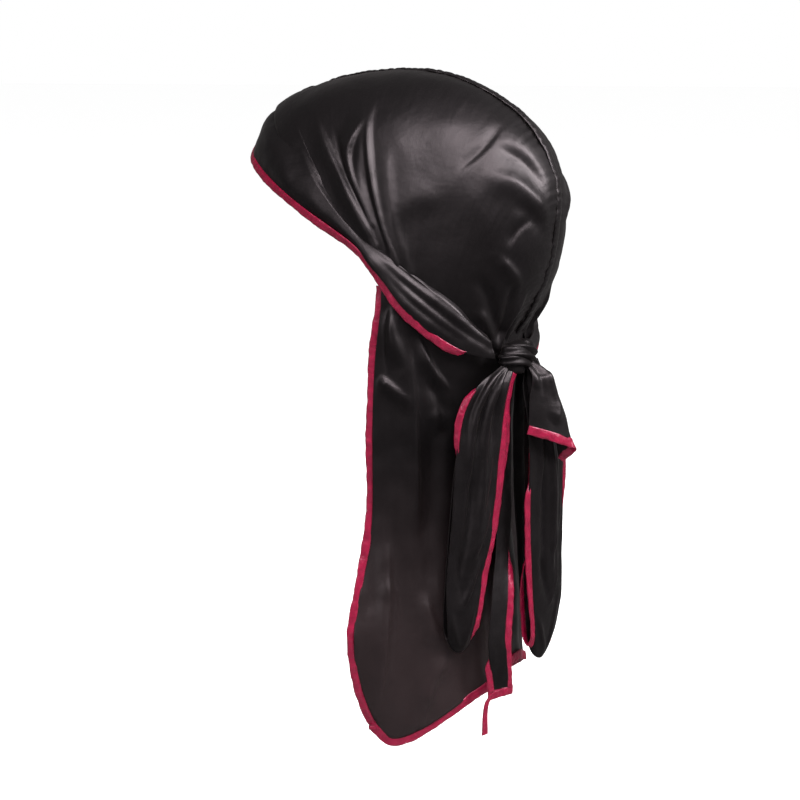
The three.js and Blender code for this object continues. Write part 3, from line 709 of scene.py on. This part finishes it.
# around is -1 to 1 with the wearer's left positive, fall is 0 at the crown and 1 at the hem
def flapSheet(around, fall):
    around, fall = np.broadcast_arrays(np.asarray(around, float), np.asarray(fall, float))

    def at(column):
        return readRows(flapRows, "around", column, np.abs(around))

    top = crown(at("turn"), 1.02)
    neck, flare, hem = (readRows(flapFall, "fall", key, fall) for key in ("neck", "flare", "hem"))
    share = 1 - neck - flare - hem
    out, back = top[..., 0] * at("topOut") * share, top[..., 1] * share
    for name, part in (("neck", neck), ("flare", flare), ("hem", hem)):
        out, back = out + at(name + "Out") * part, back + at(name + "Back") * part
    down = mix(top[..., 2] + at("rise"), -drops["flapFrom"] - drops["flap"] * at("hem"), fall)
    return place(np.sign(around) * out, back, down)


flapCut = {"across": 280, "down": 160, "u": (-1, 1), "v": (-0.02, 1)}
# the folds of the left half, from under the strap to the hem; the right half has them mirrored
flapFolds = [
    crease(4, -1.8, (0.93, 0.04), (0.94, 0.12), (0.93, 0.22), steep=2),
    crease(6, 3, (0.92, 0.06), (0.87, 0.11), (0.8, 0.17), steep=3, end=0.2),
    crease(6, 2.4, (0.79, 0.04), (0.75, 0.21), (0.72, 0.42), (0.71, 0.56), steep=2.2),
    crease(4.4, 2.7, (0.98, 0.22), (0.89, 0.22), (0.74, 0.24), steep=2),
    crease(4.4, 3.4, (0.72, 0.07), (0.61, 0.13), (0.49, 0.17), steep=1.6),
    crease(3.5, -2.2, (0.66, 0.14), (0.58, 0.2), (0.5, 0.24)),
    crease(4, 2.8, (0.64, 0.23), (0.56, 0.29)),
    crease(8, -3.6, (0.6, 0.2), (0.61, 0.3), (0.64, 0.5), (0.65, 0.78)),
    crease(7, 4, (0.97, 0.47), (0.92, 0.54), (0.88, 0.63), (0.865, 0.72), (0.87, 0.8), (0.9, 0.88),
           (0.97, 0.96), steep=3, end=0.3),
    crease(4, 1.6, (0.9, 0.62), (0.83, 0.68), (0.8, 0.76), steep=2),
    crease(6, 2.4, (0.7, 0.66), (0.64, 0.74), (0.6, 0.84), steep=3),
    crease(6, -1.8, (0.78, 0.55), (0.79, 0.7), (0.8, 0.86)),
    crease(7, 3.6, (0.52, 0.83), (0.64, 0.9), (0.74, 0.98), steep=3.6, end=0.4),
    crease(8, -3, (0.42, 0.24), (0.41, 0.5), (0.4, 0.97), end=0.6),
    crease(8, 1.8, (0.32, 0.2), (0.31, 0.5), (0.3, 0.97), end=0.6),
    crease(8, -3, (0.22, 0.3), (0.21, 0.6), (0.2, 0.97), end=0.6),
]
rightFolds = [{**fold, "path": [(-u, v) for u, v in fold["path"]]} for fold in flapFolds]
for fold in rightFolds:
    if "steep" in fold:
        fold["width"], fold["steep"] = fold["steep"], fold["width"]
flapCloth = foldedSurface(flapSheet, flapFolds + rightFolds)
flapRipples = [
    {"size": 26, "height": 2.2, "seed": 6, "stretch": (1, 1, 0.5)},
    {"size": 11, "height": 0.8, "seed": 7, "stretch": (1, 1, 0.75)},
]
flap = clothSheet("neckFlap", flapCloth, flapCut, flapRipples)
dress(flap, flapSatin, "satin", "flap")

flapEdges = {
    "flapTapeLeft": lambda share: (np.ones_like(share), mix(1.011, 0.03, share)),
    "flapTapeRight": lambda share: (-np.ones_like(share), mix(0.03, 1.011, share)),
    "flapTapeHem": lambda share: (mix(-1, 1, share), np.ones_like(share)),
}
sideTape = {"steps": 330, "to": 4, "ruffle": 0.5, "ruffleLength": 9}
flapTapeLooks = [
    sideTape,
    {**sideTape, "seed": 2},
    {"steps": 330, "ruffle": 0.4, "ruffleLength": 11, "seed": 3},
]
flapTapes = [
    edgeTape(name, flapCloth, edge, look) for (name, edge), look in zip(flapEdges.items(), flapTapeLooks)
]
for tape, node in zip(flapTapes, ("flap_binding_left", "flap_binding_right", "flap_binding_hem")):
    dress(tape, crimson, "binding", node)
print("flap made")


# Each row of the bow is a section of a ribbon, with its middle, the share of the drop that
# it has fallen, its width, and the way that its width faces in degrees about +Z.
def ribbonOf(rows, drop):
    def at(column, along):
        return readRows(rows, "along", column, along)

    def middle(along):
        return place(at("out", along), at("back", along), knotSize["at"][2] - drop * at("fall", along))

    def ribbon(along, across):
        along, across = np.broadcast_arrays(np.asarray(along, float), np.asarray(across, float))
        inner = np.clip(along, 2e-3, 1 - 2e-3)
        ahead = middle(inner + 1e-3) - middle(inner - 1e-3)
        angle = np.radians(at("face", along))
        width = unit(place(np.cos(angle), np.sin(angle), -at("tilt", along)))
        out = unit(np.cross(ahead, width))
        aside = width * (across * at("width", along) / 2)[..., None]
        point = middle(along) + aside + out * (at("cup", along) * (1 - across**2))[..., None]
        point[..., 2] += at("bow", along) * across**2
        return point

    return ribbon


loopLeftRows = tableOf(
    "along out back fall width face cup bow",
    (0, 27, 98, 0.02, 9, 144, 1),
    (0.07, 37, 93, 0.082, 22, 144, 3.5),
    (0.15, 42, 89, 0.175, 29, 144, 2.4),
    (0.25, 45, 87, 0.33, 30, 144, 1),
    (0.35, 48, 85, 0.56, 28, 143, 1),
    (0.43, 53, 82, 0.78, 23, 140, 1, 1),
    (0.48, 55, 81.5, 0.95, 18, 138, 0.5, 6),
    (0.505, 53, 79, 1.01, 15, 138, 0, 8),
    (0.53, 50.5, 76, 0.95, 17, 138, 0, 6),
    (0.6, 45, 79, 0.72, 26, 140),
    (0.75, 38.5, 84, 0.36, 32, 144),
    (0.9, 34, 87.5, 0.15, 24, 144),
    (1, 27, 90, 0.085, 8, 144),
)
loopRightRows = tableOf(
    "along out back fall width face cup bow",
    (0, 4, 102.5, 0.02, 12, 164, 1),
    (0.07, 1.5, 104.5, 0.12, 24, 165, 2),
    (0.15, -0.5, 108.5, 0.21, 30, 165, 1.4),
    (0.25, -2, 111, 0.37, 33, 165, 1.5),
    (0.35, -3.2, 111.5, 0.6, 34, 165, 1.5),
    (0.44, -5, 112, 0.88, 31, 167, 1, 1),
    (0.485, -6, 111, 1.05, 25, 170, 0.5, 7),
    (0.505, -6, 108, 1.11, 23, 170, 0, 10),
    (0.53, -6, 105, 1.05, 24, 170, 0, 7),
    (0.6, -5, 104, 0.8, 27, 170),
    (0.75, -4, 104, 0.42, 26, 170),
    (0.9, -1, 101.5, 0.19, 16, 170),
    (1, 1, 99.5, 0.075, 8, 166),
)
tailLeftRows = tableOf(
    "along out back fall width face cup",
    (0, 14.5, 94.5, 0.06, 6, 166),
    (0.15, 15.5, 91, 0.18, 12, 166, 0.5),
    (0.4, 16, 91.6, 0.4, 13, 166, 0.5),
    (0.6, 20, 92.5, 0.58, 13, 166, 0.5),
    (0.75, 30, 96, 0.72, 13, 150),
    (0.88, 36, 97, 0.86, 13, 148),
    (1, 32, 98, 1, 12, 152),
)
tailRightRows = tableOf(
    "along out back fall width face cup",
    (0, -1, 96.5, 0.03, 16, 166),
    (0.2, -6, 93.5, 0.22, 20, 165, 1),
    (0.5, -10, 93, 0.45, 18, 165, 1),
    (0.8, -11, 95, 0.66, 17, 168, 1),
    (1, -12, 98, 0.85, 14, 172),
)
turnRows = tableOf(
    "along out back fall width face cup tilt",
    (0, 9, 103, 0.02, 9, 160, 1),
    (0.3, 6, 112, 0.075, 21, 158, 3, 0.1),
    (0.65, 4, 115, 0.17, 33, 155, 5, 0.25),
    (1, 1.5, 118, 0.28, 44, 153, 6.5, 0.38),
)
# a loop is gathered below the knot, and folds again where it turns up at the bottom
gathers = [
    crease(1.8, -1.4, (0, -0.7), (0.1, -0.66), (0.24, -0.7), start=1),
    crease(2.4, 2.0, (0, -0.45), (0.1, -0.42), (0.25, -0.4), (0.4, -0.5), steep=1.4, start=1),
    crease(2, -2.2, (0, -0.15), (0.12, -0.12), (0.28, -0.1), start=1),
    crease(2.4, 2.0, (0, 0.15), (0.12, 0.16), (0.3, 0.25), (0.42, 0.2), steep=1.4, start=1),
    crease(2, -1.8, (0, 0.45), (0.12, 0.45), (0.26, 0.5), start=1),
    crease(1.8, 1.2, (0, 0.75), (0.1, 0.72), (0.2, 0.75), start=1),
    crease(4, 2.2, (0.2, 0.55), (0.32, 0.4), (0.46, 0.2), steep=2),
    crease(3.4, -2.2, (0.24, -0.3), (0.34, -0.2), (0.45, -0.35), steep=2),
    crease(2.4, 1.5, (0.3, 0.75), (0.36, 0.55), (0.4, 0.1), steep=1.4),
    crease(2.2, 1.7, (0.38, 0.7), (0.43, 0.35), (0.46, -0.3), steep=1.3),
    crease(2.4, -1.4, (0.38, -0.45), (0.41, -0.3), (0.46, 0.1)),
    crease(1.8, 1.3, (0.43, 0.8), (0.47, 0.5), (0.5, 0.1)),
    crease(1.8, 1.2, (0.45, -0.8), (0.48, -0.4), (0.5, 0.2)),
    crease(2.4, 1.4, (0.7, 0.1), (0.85, 0.1), (1, 0.1), end=1),
]
bandRipples = [
    {"size": 15, "height": 1.0, "seed": 9, "stretch": (1, 1, 0.5)},
    {"size": 6, "height": 0.3, "seed": 10, "stretch": (1, 1, 0.6)},
]
bands = tableOf(
    "name node rows drop folds across down tuckedDeep",
    ("loopLeft", "loop_left", loopLeftRows, drops["loop"], gathers, 330, 40, 6.4),
    ("loopRight", "loop_right", loopRightRows, drops["loop"], gathers, 330, 40, 4.5),
    ("tailLeft", "tail_left", tailLeftRows, drops["tail"], [], 200, 20, 4.5),
    ("tailRight", "tail_right", tailRightRows, drops["tail"], [], 180, 24, 4.5),
)
# where a band's edge rolls behind it, its tape doesn't show
tucks = {
    "loopLeftTapeA": [
        (0, 150), (0.68, 150), (0.74, 80), (0.78, 38), (0.84, 18), (0.88, 18),
        (0.93, 50), (0.97, 120), (1, 140),
    ],
    "loopRightTapeA": [(0, 150), (0.33, 150), (0.4, 10), (0.6, 0), (0.68, 10), (0.75, 120), (1, 150)],
    "loopRightTapeB": [(0, 140), (0.07, 130), (0.12, 10), (0.3, 5), (0.37, 100), (0.45, 150), (1, 150)],
    "tailLeftTapeB": [(0, 150), (0.5, 150), (0.6, 60), (0.68, 0), (1, 0)],
    "tailLeftTapeA": [(0, 0), (0.06, 10), (0.12, 110), (1, 150)],
    "tailRightTapeA": [(0, 150), (1, 150)],
    "tailRightTapeB": [(0, 150), (1, 150)],
}


def lowerEdge(share):
    return mix(1, 0, share), -np.ones_like(share)


def upperEdge(share):
    return share, np.ones_like(share)


bandTape = {"to": 3.6, "ruffle": 0.25, "ruffleLength": 10}
for i, band in enumerate(bands):
    surface = foldedSurface(ribbonOf(band["rows"], band["drop"]), band["folds"])
    cut = {"across": band["across"], "down": band["down"], "u": (0, 1), "v": (-1, 1)}
    pieces = [dress(clothSheet(band["name"], surface, cut, bandRipples), satin, "satin", band["node"])]
    for letter, edge in (("A", lowerEdge), ("B", upperEdge)):
        name = band["name"] + "Tape" + letter
        look = {**bandTape, "steps": band["across"], "seed": i, "tuckedDeep": band["tuckedDeep"]}
        if name in tucks:
            look["tuck"] = tucks[name]
        tape = edgeTape(name, surface, edge, look)
        pieces.append(dress(tape, crimson, "binding", band["node"] + "_binding_" + letter.lower()))

# the tape across the left end, and the loose bit of it that hangs below
tailSurface = ribbonOf(tailLeftRows, drops["tail"])


def tailEndEdge(share):
    return np.ones_like(share), mix(1.55, -1.6, share)


tailEnd = edgeTape("tailEndTape", tailSurface, tailEndEdge, {"steps": 60})
dress(tailEnd, crimson, "binding", "tail_left_binding_end")

tagRows = tableOf(
    "along out back fall width face",
    (-0.4, 35.5, 96.5, -0.35, 4, 152),
    (0, 41.5, 93, 0, 3, 152),
    (1, 43, 92.5, 1, 4.5, 160),
)
endTapeWidth = 5
tagTop = knotSize["at"][2] - drops["tail"] - endTapeWidth - 5 * crownSize["gap"]


def tagSheet(along, across):
    point = ribbonOf(tagRows, drops["tag"])(along, across)
    point[..., 2] += tagTop - knotSize["at"][2]
    return point


tagCut = {"across": 60, "down": 14, "u": (-0.4, 1), "v": (-1, 1), "wall": 1.1}
tag = clothSheet("tailTag", tagSheet, tagCut)
dress(tag, crimson, "binding", "tail_tag")

# the strap that turns out over the right loop
turnRoll = {"from": 0.4, "radius": 4.2, "drop": 13}
turnBand = ribbonOf(turnRows, drops["loop"])


# the strap's right part rolls back behind it, and sinks as it does
def turnSheet(along, across):
    along, across = np.broadcast_arrays(np.asarray(along, float), np.asarray(across, float))
    start = np.full(across.shape, turnRoll["from"])
    held = turnBand(along, np.minimum(across, start))
    width = turnBand(along, start) - turnBand(along, start - 0.1)
    run = np.linalg.norm(width, axis=-1) * 10 * np.maximum(across - start, 0)
    radius = turnRoll["radius"] * (0.4 + 0.6 * along)
    turn = run / radius
    width = unit(width)
    back = unit(np.cross(width, place(0, 0, 1))) * -1
    sink = turnRoll["drop"] * along * np.clip(turn / math.pi, 0, 1.2) ** 1.6
    rolled = width * (radius * np.sin(turn))[..., None] + back * (radius * (1 - np.cos(turn)))[..., None]
    return held + rolled - place(0, 0, 1) * sink[..., None]


turnFolds = [
    crease(5, 1.3, (0.3, -0.9), (0.33, -0.2), (0.26, 0.4), steep=2, start=0.3, end=0.6),
    crease(6, 1.6, (0.5, 0.35), (0.72, 0.1), (0.9, -0.3), steep=3),
    crease(2, 1.2, (0.05, -0.9), (0.3, -0.85), (0.5, -0.75), start=1),
    crease(2, -1.2, (0.05, -0.4), (0.3, -0.5), (0.6, -0.5), start=1),
    crease(2.4, 1.3, (0.05, 0.1), (0.4, 0.1), (0.7, 0.15), start=1),
    crease(2.4, -1.1, (0.05, 0.5), (0.4, 0.5), (0.8, 0.55), start=1),
]
turnCloth = foldedSurface(turnSheet, turnFolds)
turnCut = {"across": 90, "down": 70, "u": (0, 1), "v": (-1, 1)}
turned = clothSheet("bowTurn", turnCloth, turnCut, bandRipples)
dress(turned, satin, "satin", "bow_turn")


def turnEdge(share):
    return np.ones_like(share), mix(1, -1, share)


turnTape = edgeTape("bowTurnTape", turnCloth, turnEdge, {"steps": 120, "to": 5})
dress(turnTape, crimson, "binding", "bow_turn_binding")
print("bow made")

# the knot: the straps pulled tight round each other
knotLook = {
    "around": 160,
    "rise": 110,
    "scale": (0.8, 1.2, 0.88),
    "offset": (2, -0.6, 0),
    "core": 0.86,
    "creaseDepth": 0.16,
    "creases": 6.2,
    "cloth": (0.1, 0.04),
}


def knotSkin(around, rise):
    a, b = around * 2 * math.pi, (rise - 0.5) * math.pi
    wide = np.cos(b) ** 0.8
    point = place(np.cos(a) * wide, np.sin(a) * wide, np.sin(b))
    # creases run down to the right as the left strap does, and close up towards the pinch
    across = point[..., 2] * 0.8 - point[..., 0] * 0.55 + 0.25 * point[..., 0] ** 2
    creases = np.abs(np.sin(knotLook["creases"] * across + 0.5)) ** 0.6 * knotLook["creaseDepth"]
    creases = creases + 0.06 * np.sin(15 * across + 4 * point[..., 0])
    point = point * (knotLook["core"] + creases)[..., None]
    size = np.array([knotSize[side] for side in ("width", "depth", "height")]) * knotLook["scale"]
    point = point * size / 2
    turn = math.radians(-knotSize["twist"])
    x = point[..., 0] * math.cos(turn) - point[..., 1] * math.sin(turn)
    y = point[..., 0] * math.sin(turn) + point[..., 1] * math.cos(turn)
    return place(x, y, point[..., 2]) + np.array(knotSize["at"]) + knotLook["offset"]


bm, flat = flatGrid(knotLook["around"], knotLook["rise"])
movePoints(bm, knotSkin(flat[:, 0], np.clip(flat[:, 1], 1e-4, 1 - 1e-4)))
knot = closedSkin("knot.wraps", bm, flat * knotLook["cloth"], 2e-5, 200)
dress(knot, shadedKnotSatin, "satin", "knot")
print("knot made")

# camera, floor and light
cameraLook = {
    "azimuth": 118,
    "elevation": 12,
    "distance": 1.0,
    "aim": (0, 0, -0.208),
    "aside": 0.009,
    "lens": 69.75,
}
azimuth, elevation = math.radians(cameraLook["azimuth"]), math.radians(cameraLook["elevation"])
toCamera = Vector((
    math.sin(azimuth) * math.cos(elevation),
    -math.cos(azimuth) * math.cos(elevation),
    math.sin(elevation),
))
toRight = Vector((math.cos(azimuth), math.sin(azimuth), 0))
toFront = Vector((toCamera.x, toCamera.y, 0)).normalized()
camera = bpy.data.objects.new("camera", bpy.data.cameras.new("camera"))
bpy.context.scene.collection.objects.link(camera)
camera.data.lens = cameraLook["lens"]
camera.data.sensor_width = 36
camera.data.clip_start = 0.01
camera.location = (
    Vector(cameraLook["aim"]) + toRight * cameraLook["aside"] + toCamera * cameraLook["distance"]
)
camera.rotation_euler = toCamera.to_track_quat("Z", "Y").to_euler()
bpy.context.scene.camera = camera

floorLook = {"height": -0.62, "size": 60, "colour": (0.9, 0.9, 0.9, 1), "roughness": 0.9}
bm = bmesh.new()
bmesh.ops.create_grid(bm, x_segments=2, y_segments=2, size=floorLook["size"])
bmesh.ops.translate(bm, vec=(0, 0, floorLook["height"]), verts=bm.verts)
floorMesh = bpy.data.meshes.new("floor")
bm.to_mesh(floorMesh)
bm.free()
floor = bpy.data.objects.new("floor", floorMesh)
bpy.context.scene.collection.objects.link(floor)
floorPaint, floorShader = newMaterial("pale floor")[:2]
floorShader.inputs["Base Color"].default_value = floorLook["colour"]
floorShader.inputs["Roughness"].default_value = floorLook["roughness"]
floor.data.materials.append(floorPaint)
floor.visible_glossy = False  # the satin mirrors a dim room and the lamps only

# each lamp's place is in metres to the camera's right, up, and towards the camera
lamps = [
    {"name": "overhead", "at": (0.4, 1.1, 0.95), "size": (2.0, 0.5), "power": 64},
    {"name": "fill", "at": (-1.1, 0.4, 1.3), "size": (0.5, 0.9), "power": 8},
    {"name": "right strip", "at": (1.3, 0.8, 0.3), "size": (0.6, 0.7), "power": 40},
]
lookAt = Vector((0, 0, -0.15))
for lamp in lamps:
    light = bpy.data.lights.new(lamp["name"], "AREA")
    light.shape = "RECTANGLE"
    light.size, light.size_y = lamp["size"]
    light.energy = lamp["power"]
    right, up, near = lamp["at"]
    holder = bpy.data.objects.new(lamp["name"], light)
    holder.location = lookAt + toRight * right + Vector((0, 0, up)) + toFront * near
    holder.rotation_euler = (holder.location - lookAt).to_track_quat("Z", "Y").to_euler()
    bpy.context.scene.collection.objects.link(holder)

# a high soft sun lights the floor evenly
sunLook = {"strength": 3.4, "spread": 50, "lean": 0.3}
sun = bpy.data.lights.new("high sun", "SUN")
sun.energy = sunLook["strength"]
sun.angle = math.radians(sunLook["spread"])
holder = bpy.data.objects.new("high sun", sun)
holder.rotation_euler = (Vector((0, 0, 1)) + toFront * sunLook["lean"]).to_track_quat("Z", "Y").to_euler()
holder.visible_glossy = False
bpy.context.scene.collection.objects.link(holder)

# the room is white to the eye and dim to the satin
roomLook = {"colour": (1, 1, 1, 1), "seen": 1.0, "mirrored": 0.16}
world = bpy.data.worlds.new("studio")
world.use_nodes = True
roomNodes, roomLink = world.node_tree.nodes, world.node_tree.links.new
room = roomNodes["Background"]
seen = roomNodes.new("ShaderNodeBackground")
for background, strength in ((room, "mirrored"), (seen, "seen")):
    background.inputs["Color"].default_value = roomLook["colour"]
    background.inputs["Strength"].default_value = roomLook[strength]
eye = roomNodes.new("ShaderNodeLightPath")
either = roomNodes.new("ShaderNodeMixShader")
roomLink(eye.outputs["Is Camera Ray"], either.inputs["Fac"])
roomLink(room.outputs["Background"], either.inputs[1])
roomLink(seen.outputs["Background"], either.inputs[2])
roomLink(either.outputs["Shader"], roomNodes["World Output"].inputs["Surface"])
bpy.context.scene.world = world
bpy.context.scene.view_settings.view_transform = "Standard"
print("studio made")
